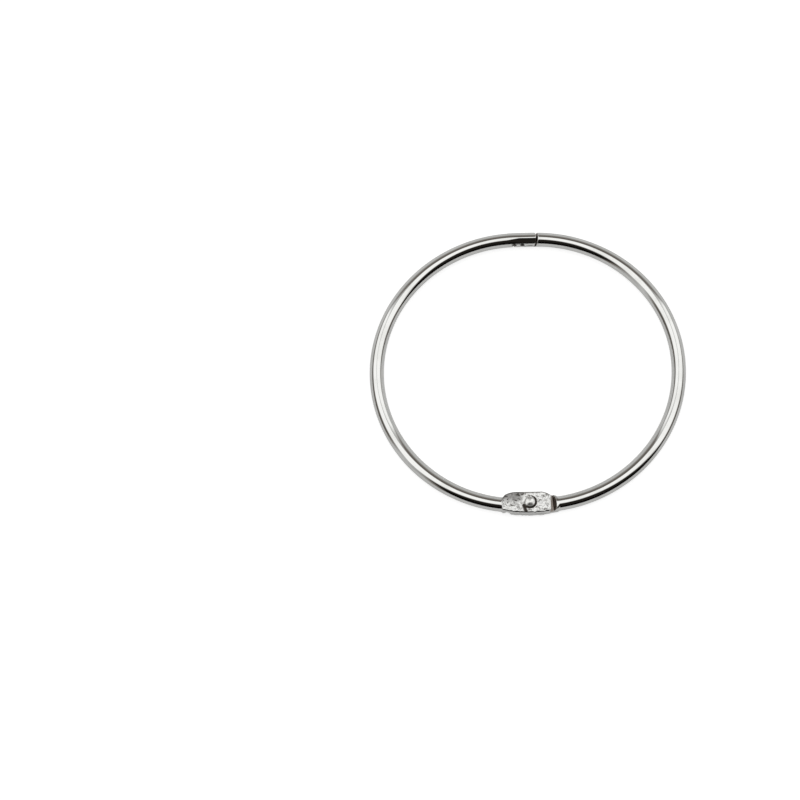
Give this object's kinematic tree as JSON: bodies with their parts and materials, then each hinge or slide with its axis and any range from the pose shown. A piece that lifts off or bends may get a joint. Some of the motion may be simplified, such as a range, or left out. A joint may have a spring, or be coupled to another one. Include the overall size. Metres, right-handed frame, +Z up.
{
  "type": "binder ring",
  "caption": "Hinged ring of round plated wire for loose leaves: two half-round arms joined by a domed rivet, with a hooked snap catch opposite the hinge.",
  "frame": {"origin": "middle of the ring, on the surface that it lies on", "axes": "+Z up, out of the plane of the ring; +Y from the hinge to the catch; +X to the right, across both arms"},
  "size_m": [0.0836, 0.0795, 0.0042],
  "materials": {
    "arm_nickel": "bright nickel plate over drawn steel wire, stamped flat and lightly scuffed at the hinge",
    "rivet_nickel": "bright nickel plate, burnished by the closing tool"
  },
  "bodies": {
    "left_half": {"left_arm": "arm_nickel", "hinge_rivet": "rivet_nickel"},
    "right_half": {"right_arm": "arm_nickel"}
  },
  "joints": [
    {"name": "arm_swing", "type": "hinge", "parent": "left_half", "child": "right_half", "pos_m": [0, -0.0372, 0.0019], "axis": [0, 0, -1], "range_deg": [0, 120]}
  ]
}
